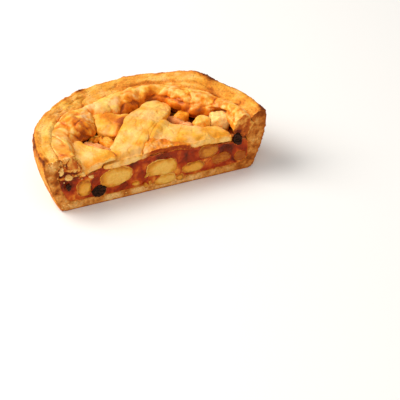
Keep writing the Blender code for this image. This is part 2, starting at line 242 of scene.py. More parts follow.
def shape_skin(piece, rule, edge_browning=0, rounds=12):
    """Move each point as the rule says, and keep its browning and its crumb as attributes."""
    data = piece.data
    normals = [vert.normal.copy() for vert in data.vertices]
    marks = []
    for index, vert in enumerate(data.vertices):
        lift, brown, opened = rule(vert.co / MM, normals[index])
        if vert.co.z / MM > FLAT_BOTTOM:
            vert.co += normals[index] * lift * MM
        marks.append((brown, clamp(opened)))
    data.update()
    level = smoothed(data, rounds)
    browned = data.attributes.new("browned", "FLOAT", "POINT")
    crumb = data.attributes.new("crumb", "FLOAT", "POINT")
    for vert, place, (brown, opened) in zip(data.vertices, level, marks):
        above = (vert.co - place).dot(vert.normal) / MM
        browned.data[vert.index].value = clamp(brown + edge_browning * above)
        crumb.data[vert.index].value = opened


def is_cut(spot, normal):
    """True on the face that the knife laid open."""
    return normal.y < -0.55 and spot.y < cut_y + 1


# %% [markdown]
# All unevenness comes from Blender's noise functions, read at the point's own place, so each run is the same.
# Fractal noise gives soft bumps with smaller bumps on them, and Voronoi noise gives pores. Where dough was
# rolled or folded one way, the place is stretched that way before the noise is read.

# %% Bumps, pores and cracks
def bumps(spot, size, octaves=3, shift=0):
    """Soft unevenness from about -1 to 1, with bumps about size across."""
    return noise.fractal(spot / size + Vector((shift, -shift, shift / 2)), 1, 2, octaves)


def pores(spot, size, share=0.35):
    """1 in the middle of scattered pores of that spacing, 0 between them."""
    return clamp(1 - noise.voronoi(spot / size)[0][0] / share)


def cracks(spot, size, width=0.1, shift=0):
    """1 along thin lines that wander over the surface, 0 between them."""
    return clamp(1 - abs(noise.noise(spot / size + Vector((shift, shift, -shift)))) / width)


def streaked(spot, way, long, fine):
    """The point's place turned along a level direction, so that noise read there runs that way."""
    return Vector((spot.xy.dot(way) / long, (spot.y * way.x - spot.x * way.y) / fine, spot.z / long))


def from_line(spot, line):
    """Distance from a straight line between two places, seen from above."""
    start, end = line
    along = end - start
    share = clamp((spot.xy - start).dot(along) / along.length_squared)
    return (spot.xy - start - along * share).length


def marks_at(place, table):
    """How strong the marks of a table are at a flat place. Each has two coordinates, radius and strength."""
    x, y = place
    return sum(strength * math.exp(-((x - a) ** 2 + (y - b) ** 2) / radius ** 2)
               for a, b, radius, strength in table)


# %% [markdown]
# The crust is one shell of shortcrust: bottom, wall and a rim folded in at the top.
# Its outside baked against the tin and is brown and sandy. The rim shows lines along its length, where the
# dough was folded and smoothed with a finger, and its outer edge is ragged. At the cut the crumb is pale with
# small pores, stained by juice in places, and the brown skin is only one or two millimetres deep.
# Distance from the pie's middle tells these places apart. Marks that the real pie has in one place only are
# kept in short tables: as x and y on top, and as x and z at the cut.

# %% Crust
MIDDLE = Vector((0, -46.9, 0))
WALL_OUTSIDE = ((0, 84), (0.8, 87.2), (12, 92.6), (20, 95.6), (31, 99.2), (40, 100.8), (48, 101.2))
RIM_STARTS = 45


def around(spot):
    """Distance from the pie's axis, and the angle in degrees from the right end of the cut."""
    x, y = spot.x - MIDDLE.x, spot.y - MIDDLE.y
    angle = math.degrees(math.atan2(y, x))
    return math.hypot(x, y), angle + 360 if angle < -90 else angle


def wall_radius(height):
    for (low, inner), (high, outer) in zip(WALL_OUTSIDE, WALL_OUTSIDE[1:]):
        if height <= high:
            return inner + (outer - inner) * clamp((height - low) / (high - low))
    return WALL_OUTSIDE[-1][1]


def along_rim(spot, radius, angle, long, fine):
    """The point's place on the rim rolled out flat, so that noise read there runs along the rim."""
    return Vector((math.radians(angle) * 95 / long, radius / fine, spot.z / long))


RIM_BURNS = ((78, 17, 7, 0.9), (84, 9, 4, 0.6), (66, 29, 4, 0.5), (99, -51, 6, 0.8), (-30, 46, 4, 0.4),
             (-46, 37, 3, 0.4), (-97, -50, 5, 0.4))
# Browner and paler places on the rim as x, y, radius and strength: mostly the oven's browning, but the paler
# one at (-78, -6) is painted light that lifts the shade in the hollow beside the left roll.
RIM_BROWNING_AND_LIGHT = ((80, -30, 8, 0.3), (92, -14, 8, -0.3), (73, 6, 6, 0.3), (8, 38, 8, 0.3), (68, 32, 6, 0.12),
            (-71, 12, 8, 0.15), (60, 20, 5, -0.25), (42, 26, 6, -0.25), (-42, 27, 7, 0.12),
            (-78, -6, 12, -0.2), (85, -44, 6, 0.15), (-88, -42, 5, 0.15))
# A long crack on the rim at the back right: radius, how far it wanders, and the angles of its two ends
RIM_CRACK = (87.5, 2.2, (24, 36), (74, 90))
# From this angle on, the hollow between the rim and the roll is filled
LEVELLED = (128, 146)
FLOOR_STAINS = ((-32, 7.5, 3.5, 0.4), (-30, 2, 6, 0.3), (-52, 8, 5, 0.35), (-8, 5, 4, 0.2),
                (-40, 5, 5, -0.5), (-19, 4.5, 7, -0.35), (5, 3, 6, -0.35), (-72, 4, 8, 0.05),
                (-88, 2, 6, 0.15), (-90, 36, 3, 1), (-90.5, 28, 3, 0.9), (-89.5, 21, 2.4, 0.5),
                (18, 3, 6, -0.2), (84, 8, 10, 0.2), (97, 51, 7, 0.5))
CRUMB_HOLES = ((-91, 18, 1.3, 1), (-87, 10, 1, 0.6), (-95, 30, 1, 0.5), (24, 5, 1.2, 0.4))


def crust_section(spot, radius):
    """The crust where the knife cut it."""
    depth = min(wall_radius(spot.z) - radius, spot.z) + 0.9 * bumps(spot, 3, 2)
    holes = marks_at(spot.xz, CRUMB_HOLES)
    # The cut is painted browner towards the right end: painted shade, where the pie's other half keeps the
    # light off it.
    brown = 0.28 + 0.35 * bumps(spot, 6, 3, 4) + 0.3 * ease(30, 96, spot.x)
    brown += marks_at(spot.xz, FLOOR_STAINS) + 0.12 * ease(-70, -95, spot.x)
    brown = max(brown, 0.72 * fade(0.1, 2, depth)) + holes
    return 0.7 * bumps(spot, 3) - 1.2 * pores(spot, 3.6, 0.32) - 1.8 * holes, brown, 1


def crust_wall(spot):
    """The outside that baked against the tin, and the ragged edge above it."""
    edge = ease(42, 53, spot.z)
    lift = 0.25 * bumps(spot, 1.6, 2) + 0.35 * bumps(spot, 6, 3) - 0.5 * pores(spot, 3.6, 0.26)
    lift += edge * 0.3 * bumps(spot, 3, 2, 6)
    # Towards the left end the wall is painted paler, which is painted light, and its top edge is painted
    # darker there, which is painted shade.
    left = fade(-96, -84, spot.x)
    brown = 0.42 + 0.08 * ease(-85, -20, spot.x) + 0.36 * bumps(spot, 7, 4, 2) + (0.15 + 0.3 * left) * edge
    brown += edge * marks_at(spot.xy, RIM_BURNS)
    return lift, brown, 0


def crust_rim(spot, radius, angle):
    """The folded-in top, with lines along its length."""
    near_cut = fade(cut_y + 1, cut_y + 9, spot.y)
    outer = ease(94, 99, radius)
    folded = 0.6 + 0.5 * ease(135, 165, angle)
    folds = bumps(along_rim(spot, radius, angle, 34, 4.4), 1, 2)
    lines = bumps(along_rim(spot, radius, angle, 14, 1.9), 1, 2, 3)
    split = cracks(along_rim(spot, radius, angle, 30, 7), 1, 0.06, 3)
    split *= ease(-0.2, 0.2, bumps(spot, 22, 2, 5))
    at, wander, start, end = RIM_CRACK
    aside = abs(radius - at - wander * bumps(along_rim(spot, at, angle, 18, 50), 1, 2, 6))
    crack = fade(0.3, 1.5, aside) * ease(*start, angle) * fade(*end, angle)
    burnt = marks_at(spot.xy, RIM_BURNS) * ease(90, 99, radius)
    lift = 0.25 * bumps(spot, 1.6, 2) + folded * folds + 0.35 * lines - 1 * split - 1.3 * crack
    level = ease(*LEVELLED, angle) * fade(89, 94, radius)
    lift += 4 * level - 1.2 * near_cut
    lift += (outer * 0.25 + near_cut * 0.9 + 1.2 * burnt) * bumps(spot, 3.2, 2, 8)
    # The rim is painted paler towards the left, which is painted light from the key lamp's side, and paler
    # where the hollow beside the roll is filled (level), which is painted light in that shade.
    brown = 0.18 + 0.08 * ease(-30, 50, spot.x) + 0.15 * outer + 0.26 * bumps(spot, 8, 4) - 0.18 * folds
    brown += marks_at(spot.xy, RIM_BROWNING_AND_LIGHT) - 0.15 * level
    brown += 0.12 * lines + 0.5 * split + 0.45 * crack + burnt
    return lift, brown + near_cut * (0.2 + 0.4 * bumps(spot, 3)), 0


def crust_rule(spot, normal):
    radius, angle = around(spot)
    if is_cut(spot, normal):
        return crust_section(spot, radius)
    if normal.z < -0.5 and spot.z < 2:
        return 0, 0.8, 0
    if radius < 90 and spot.z < RIM_STARTS - 2:
        return 0.6, 0.4, 0
    if spot.z < RIM_STARTS or radius > 99.5:
        return crust_wall(spot)
    return crust_rim(spot, radius, angle)


crust = fine_skin("baked_crust", "crust", 0.95)
soften(crust, 3, 0.8)
shape_skin(crust, crust_rule, edge_browning=0.3)

# %% [markdown]
# Two thick rolls of dough lie inside the rim. They were brushed with egg, so they gleam. Their crests are
# painted cream with a pinkish tinge, in part a painted highlight of the gloss, while the slopes towards the
# middle, the underside above the fruit and the hollows are painted orange-brown, in part baked colour and in
# part painted shade. Folds are wandering cracks with a wide, soft mouth. Near the left end roll and rim were
# pressed flat together, and at the end itself the dough was torn rather than cut, and juice soaked into it.

# %% Rolls of dough
ROLL_HEAT = ((-51, 0, 8, 0.65), (-45, -12, 8, 0.5), (-1, 16, 8, 0.3), (20, 16, 6, 0.3), (27, 18, 7, 0.15),
             (6, 15, 6, 0.2), (42, -4, 8, 0.3), (54, -11, 7, 0.25), (72, -17, 6, 0.3), (64, -7, 5, 0.25),
             (-84, -51, 6, 0.4), (-62, 4, 6, 0.2), (-20, 20, 8, -0.6), (-6, 25, 5, -0.3), (49, 10, 6, 0.22),
             (40, 20, 7, -0.1), (60, 5, 5, -0.2), (82, -36, 8, -0.2), (-41, 8, 5, -0.3), (-62, -8, 5, -0.15))
TORN_DOUGH = ((-85.6, 38, 3, 1), (-79, 31, 3.4, 1), (-75, 40, 4.4, 0.9), (-84, 46.5, 4, 0.8),
              (-68, 35, 3.4, 0.8))
TORN_ENDS = (-66, -56)
SOAKED_DOUGH = ((-87.5, 40, 3, 0.9), (-88, 33, 3.2, 1), (-82, 35, 2.4, 0.7), (-80.5, 42.5, 2, 0.6),
                (-73, 31, 3.4, 0.8), (-66, 38, 3.2, 0.8), (-84, 48, 2.4, 0.5))
RAISIN_STAIN = ((73, 36, 6, 0.5), (80, 31, 4, 0.4))
# The roll at the right folds over itself: from this x on, a groove runs along its inner side at this height
OVERLAP_FROM = (20, 30)
OVERLAP_HEIGHT = 46
# Its inner side is paler at the right end
PALER_FROM = (56, 66)
# From this angle on, the roll and the rim are one, but for a crease near the left end
MERGES = (144, 158)
CREASE = (Vector((-77, -18)), Vector((-71.6, -37.5)))
FLAKY_WAY = Vector((0.27, -0.963))
# There its top is level with the rim: the height at two distances from the pie's axis
LEVEL_INSIDE, LEVEL_OUTSIDE = (72, 48.6), (84, 51.2)


def roll_section(spot):
    """A roll where the knife cut it: torn and stained at the left, baked through at the right."""
    torn = fade(*TORN_ENDS, spot.x)
    pale = clamp(marks_at(spot.xz, TORN_DOUGH) + 0.35 * bumps(spot, 3, 2, 2))
    soaked = torn * (0.6 * cracks(spot, 4.5, 0.16, 3) + marks_at(spot.xz, SOAKED_DOUGH))
    lift = 0.5 * bumps(spot, 3) - 0.9 * pores(spot, 3.4, 0.3) + torn * (1.6 * pale - 1) - 0.9 * soaked
    brown = 0.48 + 0.3 * bumps(spot, 4, 3, 7) + marks_at(spot.xz, RAISIN_STAIN)
    return lift, brown + torn * (0.05 - 0.3 * pale) + soaked, 1


def roll_rule(spot, normal):
    if is_cut(spot, normal):
        return roll_section(spot)
    radius, angle = around(spot)
    inward = fade(0.3, 0.95, normal.z)
    merging = ease(*MERGES, angle)
    folded_over = ease(*OVERLAP_FROM, spot.x)
    lobe = folded_over * inward * fade(43, 48, spot.z)
    crimps = bumps(along_rim(spot, radius, angle, 17, 30), 1, 2, 3)
    wrinkles = bumps(along_rim(spot, radius, angle, 7, 4.2), 1, 3, 6) * (1 - 0.75 * lobe)
    swell = bumps(spot, 20, 2, 3)
    folds = cracks(spot, 15, 0.12, 7) * (1 - lobe)
    lift = 0.8 + 0.7 * crimps + 0.8 * swell - 0.7 * folds + 0.45 * wrinkles + 0.12 * bumps(spot, 2, 2)
    aside = abs(spot.z - OVERLAP_HEIGHT - 2 * bumps(spot, 14, 2, 8))
    overlap = fade(0.3, 1.6, aside) * inward * folded_over
    shadow = inward * fade(36, 40, spot.z) * (1 - merging)
    lift -= 1.2 * overlap + 2 * shadow
    lines = bumps(streaked(spot, FLAKY_WAY, 16, 1.8), 1, 2)
    crease = fade(0.3, 1.5, from_line(spot, CREASE))
    joined = merging * ease(70, 76, radius) * ease(-0.2, 0.2, normal.z)
    share = clamp((radius - LEVEL_INSIDE[0]) / (LEVEL_OUTSIDE[0] - LEVEL_INSIDE[0]))
    height = LEVEL_INSIDE[1] + share * (LEVEL_OUTSIDE[1] - LEVEL_INSIDE[1])
    flat = min(4, max(-2, (height - spot.z) / max(0.4, normal.z)))
    lift += joined * (flat + 0.3 * swell - lift) + 0.35 * merging * lines - 1.1 * crease
    heat = marks_at(spot.xy, ROLL_HEAT)
    # The inward slopes (inward), the underside above the fruit (shadow) and the lower lobe are painted
    # browner, in part as painted shade, and at the right end less of it is laid on; the crimps and wrinkle
    # crests are painted paler, in part as a painted highlight.
    brown = 0.2 + 0.8 * heat + 0.3 * inward * (1 - merging) - 0.2 * crimps + 0.25 * folds
    brown -= 0.42 * wrinkles * (1 - 0.6 * joined) + 0.12 * joined
    brown += 0.22 * bumps(spot, 6, 4, 5) + 0.25 * overlap + 0.3 * shadow + 0.2 * lobe
    brown -= 0.4 * inward * ease(*PALER_FROM, spot.x)
    brown += merging * (0.16 * lines + 0.08) + 0.4 * crease
    return lift, brown, 0


roll_left = fine_skin("glazed_roll_left", "roll_left", 0.55)
roll_back = fine_skin("glazed_roll_back", "roll_back", 0.6)
# A negative edge browning paints the hollows browner and the crests paler: in part painted shade and painted
# highlight.
for piece in (roll_left, roll_back):
    soften(piece, 10, cut_depth=1)
    shape_skin(piece, roll_rule, edge_browning=-0.25)

# %% [markdown]
# The lattice strips are flat bands of the same dough, cut with a wheel and laid across. They stayed pale,
# with golden sides and a few pinkish spots. They sag into waves over the fruit and hang down at the cut.
# Where one strip lies over another the two baked together, so the lower one rises to the upper one's edge.
# A BVH tree answers quickly how far a point is from the upper strip's solid.

# %% Lattice strips and the flake
STRIP_HEAT = ((55, -49, 7, 0.25), (38, -51, 6, 0.3), (24, -47, 5, 0.35), (-57, -25, 7, 0.4),
              (-56, -47, 7, 0.25), (-1, -30, 4, 0.45), (-12, -42, 5, 0.5), (-15, -4, 9, 0.5),
              (-24, 5, 9, 0.5), (24, -23, 5, 0.15), (-20, -36, 7, 0.1), (3, -18, 5, 0.2), (-36, -48, 8, 0.2),
              (48, -42, 5, 0.35), (-38, -38, 7, -0.1), (10, -25, 5, 0.2))
# The far side of the lower strip is drawn in and sags where the right-hand gap is: a place on the strip's
# middle line, the way across it, half its width, the ends of that stretch in x, and how far the side moves
STRIP_MIDDLE = Vector((30, -34.8))
ACROSS = Vector((0.475, 0.88))
HALF_WIDTH = 16.4
DRAWN_FROM, DRAWN_TO = (18, 30), (46, 56)
DRAWN_IN, SAG = 5, 2.2
# Its right end is blunt: from the first x to the second it widens, away from the cut, by up to this factor
WIDENS, WIDER = (46, 72), 3.2
# The upper strip hangs down at the knife cut: the ends in x, how deep, and how far from the cut it starts
HANGS_FROM, HANGS_TO = (-56, -46), (-18, -6)
HANGS, HANGS_WITHIN = 2.2, 9
MEETS_OVER = {"strip_under": 3, "strip_left": 0.6}
# The left strip ends in a slanting edge: a place on it and the way out of the dough
SLANT = (Vector((-61, -16, 40)), Vector((0.82, 0.57, 0)))
# The left end of the lower strip droops into the left-hand gap: the ends in x and how deep
DROOPS, DROOP = (-26, -12), 4
# The way along each strip, seen from above: the dough was rolled out that way, so it is streaked that way
STRIP_WAY = {"strip_left": Vector((0.5, -0.87)), "strip_over": Vector((0.72, 0.69)),
             "strip_under": Vector((0.88, -0.475))}


def distance_to(node):
    """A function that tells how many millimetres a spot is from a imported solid."""
    form = bmesh.new()
    form.from_mesh(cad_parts[node].data)
    tree = BVHTree.FromBMesh(form)
    form.free()
    return lambda spot: tree.find_nearest(spot * MM)[3] / MM


def draw_in(piece):
    """Pull the far side of the lower strip in and down beside the right-hand gap, and widen its right end."""
    for vert in piece.data.vertices:
        spot = vert.co / MM
        offset = (spot.xy - STRIP_MIDDLE).dot(ACROSS) / HALF_WIDTH
        share = ease(0.1, 1, offset) * (ease(*DRAWN_FROM, spot.x) * fade(*DRAWN_TO, spot.x))
        vert.co -= share * MM * Vector((ACROSS.x * DRAWN_IN, ACROSS.y * DRAWN_IN, SAG))
        drooping = ease(0.15, 0.9, -offset) - 0.35 * ease(0.2, 0.9, offset)
        vert.co.z -= DROOP * MM * drooping * fade(*DROOPS, spot.x)
        widened = clamp((spot.x - WIDENS[0]) / (WIDENS[1] - WIDENS[0])) ** 2
        vert.co.y += (spot.y - cut_y) * WIDER * widened * MM
    piece.data.update()


def hang(piece):
    """Let the near end of the upper strip hang down over the fruit."""
    for vert in piece.data.vertices:
        spot = vert.co / MM
        share = ease(*HANGS_FROM, spot.x) * fade(*HANGS_TO, spot.x)
        vert.co.z -= HANGS * MM * share * fade(cut_y, cut_y + HANGS_WITHIN, spot.y)
    piece.data.update()


def strip_rule_for(node):
    """The shaping rule of one strip."""
    rise = MEETS_OVER.get(node, 0)
    to_over = distance_to("strip_over")
    way = STRIP_WAY[node]

    def rule(spot, normal):
        facing = ease(0.3, 0.95, -normal.y) * fade(cut_y + 1, cut_y + 4, spot.y)
        side = fade(0.2, 0.8, abs(normal.z)) * (1 - facing)
        waves = bumps(spot, 15, 2, 4)
        streaks = bumps(streaked(spot, way, 15, 5), 1, 3, 2)
        puffs = bumps(spot, 6.5, 2, 2)
        blister = pores(spot, 6, 0.3)
        crease = cracks(spot, 11, 0.07, 5)
        wrinkles = bumps(spot, 3.4, 3, 9)
        lift = 0.2 + 1.4 * waves + 0.3 * puffs + 0.4 * streaks + 0.2 * wrinkles + 0.3 * blister - 0.4 * crease
        meeting = 0
        if rise and normal.z > 0.2:
            meeting = fade(0.3, 8, to_over(spot))
            lift += meeting * (rise - 0.6 * lift)
        near_cut = fade(cut_y, cut_y + 7, spot.y)
        lift -= 2.6 * near_cut * ease(0.1, 0.7, normal.z)
        lift += facing * (0.5 * bumps(spot, 3.4) - 0.4 * pores(spot, 3, 0.26) - lift)
        # Faces turned downwards (under) are painted browner: painted shade beneath the strips.
        under = fade(-0.6, -0.1, normal.z)
        heat = marks_at(spot.xy, STRIP_HEAT)
        brown = 0.1 + heat + 0.3 * side + 0.5 * under + 0.2 * bumps(spot, 11, 4, 8) - 0.2 * waves
        brown -= 0.2 * streaks + 0.1 * wrinkles
        brown += 0.12 * blister + 0.15 * crease + 0.12 * (meeting + near_cut)
        # The cut face is painted darker along its lower edge, below 32 mm: painted shade where the strip
        # meets the jelly.
        cut_brown = 0.12 + 0.25 * fade(28, 32, spot.z) + 0.4 * bumps(spot, 6, 3)
        return lift, brown + facing * (cut_brown - brown), 0.3 * facing

    return rule


def flake_rule(spot, normal):
    tip = fade(-13, -4, spot.x)
    crumple = bumps(spot, 5, 2, 2)
    if is_cut(spot, normal):
        return 0.6 * bumps(spot, 3), 0.9 - 0.8 * tip, 1
    lift = 0.4 + 1.3 * crumple - 0.5 * cracks(spot, 9, 0.14, 2)
    return lift, 0.32 - 0.3 * tip - 0.25 * crumple + 0.4 * bumps(spot, 7, 3, 3), 0


def slanted(form):
    cut_away(form, SLANT[0] * MM, SLANT[1])


def make_strip(name, node, bend, trim=None):
    """One strip of the lattice: its skin, its bend and its relief."""
    piece = fine_skin(name, node, 0.5, trim)
    bend(piece)
    soften(piece, 24)
    shape_skin(piece, strip_rule_for(node), edge_browning=0.3, rounds=30)
    return piece


strip_left = make_strip("lattice_left", "strip_left", hang, slanted)
strip_over = make_strip("lattice_over", "strip_over", hang)
strip_under = make_strip("lattice_under", "strip_under", draw_in)
flake = fine_skin("browned_flake", "flake", 0.4)
soften(flake, 6)
shape_skin(flake, flake_rule, edge_browning=0.6)

# %% [markdown]
# Between the apple pieces the filling is apple cooked to mush in a dark red-brown jelly. At the cut it is
# slightly sunken between the firmer pieces, torn and wet, deep red under the lattice and bright orange where
# the mush is thick. In the gaps of the lattice it is dry and sandy with cinnamon, and piled up to a ridge.
# Voronoi cells, warped by noise, give lumps of mush, each with its own share of juice: its browning here.

# %% Filling
MUSH_SIZE = 8
WARP, WARP_SIZE = 2.2, 4
JUICE_LINE = -88
# Marks on the jelly at the cut as x, z, radius and strength. The two at (-64, 32) and (-72, 33) darken the
# jelly under the left strip's edge: painted shadow.
JELLY_MARKS = ((-64, 32, 6, 0.6), (-72, 33, 5, 0.6), (-86, 24, 4, 0.3), (-25, 30, 5, 0.5),
               (-30, 12, 6, 0.05), (-80, 22, 4.5, 0.5), (-84, 30, 4, 0.5), (24, 28, 7, 0.25),
               (60, 26, 6, 0.25), (67, 23, 6, 0.3), (70, 13, 4, 0.4), (-47, 10, 5, 0.3), (-57, 21, 4, 0.35),
               (0, 31, 9, 0.05), (-19.6, 10, 3.6, -0.6), (-63, 24.5, 3.6, -0.5), (-19, 21, 3, -0.3),
               (-11, 24, 3, -0.25), (16, 14, 5, -0.3), (45, 17, 5, -0.35), (-75, 11, 4, -0.3),
               (31, 21, 4, -0.15), (-86, 16, 3, -0.2), (-5, 12, 4, -0.4), (6, 29.5, 5, 0.3),
               (-68, 28, 4, -0.3))
# Marks on the filling seen from above as x, y, radius and strength. Those at (33, 7), (55, -5), (64, -11) and
# (-31, 3) darken the hollows under the rolls: painted shadow.
TOP_MARKS = ((32, -3, 4, -0.5), (37, -11, 4, -0.5), (42, -20, 4, -0.5), (-41, -23, 5, -0.5), (33, 7, 5, 0.6),
             (55, -5, 6, 0.8), (64, -11, 6, 0.8), (-31, 3, 6, 0.6), (72, -32, 5, 0.5))
# Ridges of sandy mush in the two gaps: both ends, the height and the reach
RIDGES = ((Vector((30, -6)), Vector((41, -28)), 5.6, 4.8),
          (Vector((-49, -18)), Vector((-39, -36)), 5.5, 7))


def filling_rule(spot, normal):
    warp = Vector([noise.noise(spot / WARP_SIZE + Vector((shift, 0, 0))) for shift in (0, 40, 80)])
    cell = noise.voronoi((spot + WARP * warp) / MUSH_SIZE)
    lump = 1 - clamp(cell[0][0] / 0.75)
    juice = clamp(0.5 + 0.8 * noise.noise(Vector(cell[1][0]) * 3.1)) + 0.25 * bumps(spot, 4, 2)
    if is_cut(spot, normal):
        wet = fade(0, 3.5, abs(spot.x - JUICE_LINE))
        marks = marks_at(spot.xz, JELLY_MARKS)
        lift = 1.4 * lump + 0.35 * bumps(spot, 3.2, 2) - 0.9 - 0.9 * clamp(marks)
        return lift, 0.38 + 0.45 * juice + 0.4 * wet + marks - 0.2 * lump, 1
    if normal.z > 0.2 and spot.z > 26:
        ridge = max(height * fade(1, reach, from_line(spot, ends))
                    for *ends, height, reach in RIDGES)
        lift = 0.8 * bumps(spot, 3.4) + 0.4 * bumps(spot, 1.4, 2, 5) - 0.2 + ridge
        return lift, 0.4 * juice + 0.2 + marks_at(spot.xy, TOP_MARKS) - 0.05 * ridge, 0
    return 0.8, juice, 0.5


filling = fine_skin("apple_jelly", "filling", 0.7)
shape_skin(filling, filling_rule, edge_browning=-0.35)

# %% [markdown]
# The apple pieces are firm. Each stands a little proud of the jelly, with soft edges, and its rim has taken
# up juice while its heart stayed pale. How far a point is from the middle of the piece's box tells which.
# The knife's flat faces are planes that slice a bit off the form. Those on top were cut to rough cubes.

# %% Apple pieces
APPLES = 13
FLATS = 7
# How far out the slices are, as a share of the half size: at the cut, and for the chunkier pieces on top
FLAT_AT = 0.9
FLAT_AT_ON_TOP = 0.84
# How much juice each piece has taken up, as a darker colour: those at the right end and under the lattice
# have the most. At the right end, apple_6 to apple_8, part of it is painted shade from the pie's other half.
JUICE_AND_SHADE = {"apple_1": 0.3, "apple_2": 0.08, "apple_5": 0.3, "apple_6": 0.7, "apple_7": 0.9, "apple_8": 1,
         "apple_9": 0.4, "apple_10": 0.15, "apple_11": -0.3, "apple_12": 0.5, "apple_13": 0.4}
# The pieces on top: how far each is moved, and how much it grows, before it is sliced
SETTLED = {"apple_10": ((1, -1.5, -1.6), (1, 0.6, 0.6)), "apple_11": ((-0.5, -3, -3.4), (1.2, 1, 0.6)),
           "apple_12": ((2.5, 0.5, -1), (1.5, 0.5, 1.5)), "apple_13": ((2.5, -2, -2), (1, 2, 1.5))}
# The sides sliced off those pieces, how far each slice tilts at most, and how each cube is turned, in degrees
DICE_WAYS = (Vector((1, 0, 0)), Vector((-1, 0, 0)), Vector((0, 1, 0)), Vector((0, -1, 0)), Vector((0, 0, 1)))
DICE_TILT = 0.45
DICE_TURN = {"apple_10": 38, "apple_11": 62, "apple_12": 65, "apple_13": 40}


def diced(node):
    """A function that moves and grows a form and slices it to an uneven cube."""
    moved, grown = SETTLED[node]
    draw = random.Random(node)
    turn = Matrix.Rotation(math.radians(DICE_TURN[node]), 3, "Z")

    def trim(form):
        middle = sum((vert.co for vert in form.verts), Vector()) / len(form.verts)
        reach = [max(abs(vert.co[axis] - middle[axis]) for vert in form.verts) for axis in range(3)]
        for vert in form.verts:
            for axis in range(3):
                away = vert.co[axis] - middle[axis]
                vert.co[axis] += moved[axis] * MM + away / reach[axis] * grown[axis] * MM
        for way in DICE_WAYS:
            tilt = Vector([draw.uniform(-DICE_TILT, DICE_TILT) for _ in range(3)])
            slice_off(form, (turn @ (way + tilt)).normalized(), FLAT_AT_ON_TOP)

    return trim


def slice_off(form, way, flat_at):
    """Cut the side of a form off that lies in one direction, and close it with a flat face."""
    middle = sum((vert.co for vert in form.verts), Vector()) / len(form.verts)
    reach = max((vert.co - middle).dot(way) for vert in form.verts)
    cut_away(form, middle + way * reach * flat_at, way)


def knife_flats(seed):
    """A function that slices a few flat faces off a form, as the knife did when the apple was diced."""
    draw = random.Random(seed)

    def trim(form):
        for _ in range(FLATS):
            way = Vector((draw.uniform(-1, 1), draw.uniform(-0.6, 0.6), draw.uniform(-1, 1))).normalized()
            slice_off(form, way, FLAT_AT)

    return trim


def apple_rule_for(node):
    """The shaping rule of one apple piece, from its own box."""
    low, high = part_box(node)
    middle = (low + high) / 2 / MM
    half = (high - low) / 2 / MM
    juice_and_shade = JUICE_AND_SHADE.get(node, 0)

    def rule(spot, normal):
        away = Vector(((spot.x - middle.x) / half.x, 0, (spot.z - middle.z) / half.z))
        soaked = ease(0.5, 1.2, away.length + 0.3 * bumps(spot, 6, 2) + 0.12 * away.z - 0.12 * away.x)
        if is_cut(spot, normal):
            proud = 0.3 * fade(0.5, 1, away.length)
            fibres = bumps(Vector((spot.x / 4, 0, spot.z)), 1.6, 2, 4)
            return proud + 0.2 * bumps(spot, 3.5, 2) + 0.12 * fibres, juice_and_shade + 0.75 * soaked + 0.12 * fibres, 1
        dents = bumps(spot, 5.5, 2)
        under = 0.45 * fade(-0.8, 0.4, away.z)
        return 0.5 + 0.9 * dents, juice_and_shade + 0.1 + under - 0.1 * dents + 0.4 * bumps(spot, 5, 2, 3), 0

    return rule


apples = []
for seed in range(APPLES):
    node = f"apple_{seed + 1}"
    trim = diced(node) if node in SETTLED else knife_flats(seed)
    piece = fine_skin("cooked_" + node, node, 0.45, trim)
    soften(piece, 8 if node in SETTLED else 3)
    shape_skin(piece, apple_rule_for(node), edge_browning=0.05)
    apples.append(piece)

# %% [markdown]
# Raisins are nearly black, and their skins are drawn into deep wrinkles: ridged noise pressed into the skin.

# %% Raisins
def raisin_rule(spot, normal):
    wrinkles = cracks(spot, 2.8, 0.34)
    return 0.5 - 0.8 * wrinkles + 0.9 * bumps(spot, 5, 2), 1 - wrinkles, 0


raisins = []
for node in ("raisin_1", "raisin_2", "raisin_3"):
    piece = fine_skin("dried_" + node, node, 0.25)
    shape_skin(piece, raisin_rule)
    raisins.append(piece)

# %% [markdown]
# When the knife went through, it dragged crumbs of pale dough over the torn left end and left shreds of apple
# in the jelly. More shreds lie in the left-hand gap. Each is a ball of small faces, roughened by noise,
# stretched, turned and pressed into the surface. Tiny crumbs are strewn by a seeded random generator, the
# same in every run, and a ray shot into the cut finds the surface on which each one rests.

# %% Crumbs and shreds
# Places in the cut as x and z, then the three half sizes and the turn in degrees
DOUGH_LUMPS = ((-85.6, 38.5, 2, 2.2, 4, 15), (-79.4, 31, 3.8, 2.6, 2.6, 15), (-66.8, 31, 2.6, 2.2, 2.2, -10),
               (-59.8, 27.4, 2.4, 2.2, 1.8, 20), (-75, 42, 4.2, 3, 8.5, -18))
# Where the torn end is a baked tongue rather than pale crumb
TONGUE = ((-75.5, 44, 6.5, 0.5),)
APPLE_SHREDS = ((-9.4, 16.6, 4.2, 1.8, 1.1, -42), (-11.5, 6, 2.4, 1.8, 2.6, 10), (-7, 7.6, 1.8, 1.6, 2.2, 0),
                (-20, 10.4, 3.2, 1.8, 1.8, 10))
# Places on top as x, y and z, then the same
SHREDS_ON_TOP = ((-41.5, -6, 35, 2.4, 3.6, 2.6, 0), (-37, -10.5, 35.6, 3.8, 2.4, 2.4, 12),
                 (-39.5, -14.5, 36, 2.4, 3.2, 2.4, 0), (-35.5, -16, 36, 2.6, 3.6, 2.6, 0),
                 (-43, -12, 35.6, 2.8, 2.2, 2.4, -15))
# Areas of tiny crumbs in the cut: lowest x and z, highest x and z, and how many
CRUMBLY = ((-88, 26, -60, 44, 20), (-97, 42, -86, 52, 26), (-87, 3, -78, 7, 8), (-60, 3, -4, 6, 8))
TINY = (0.35, 0.8)
STREWN_SEED = 5
# A hollow deeper than this gets no crumb
DEEPEST = 4
# How rough a lump is, and how deep its middle lies in the cut as a share of its half size
ROUGHNESS = 0.5
PRESSED_IN = 0.45


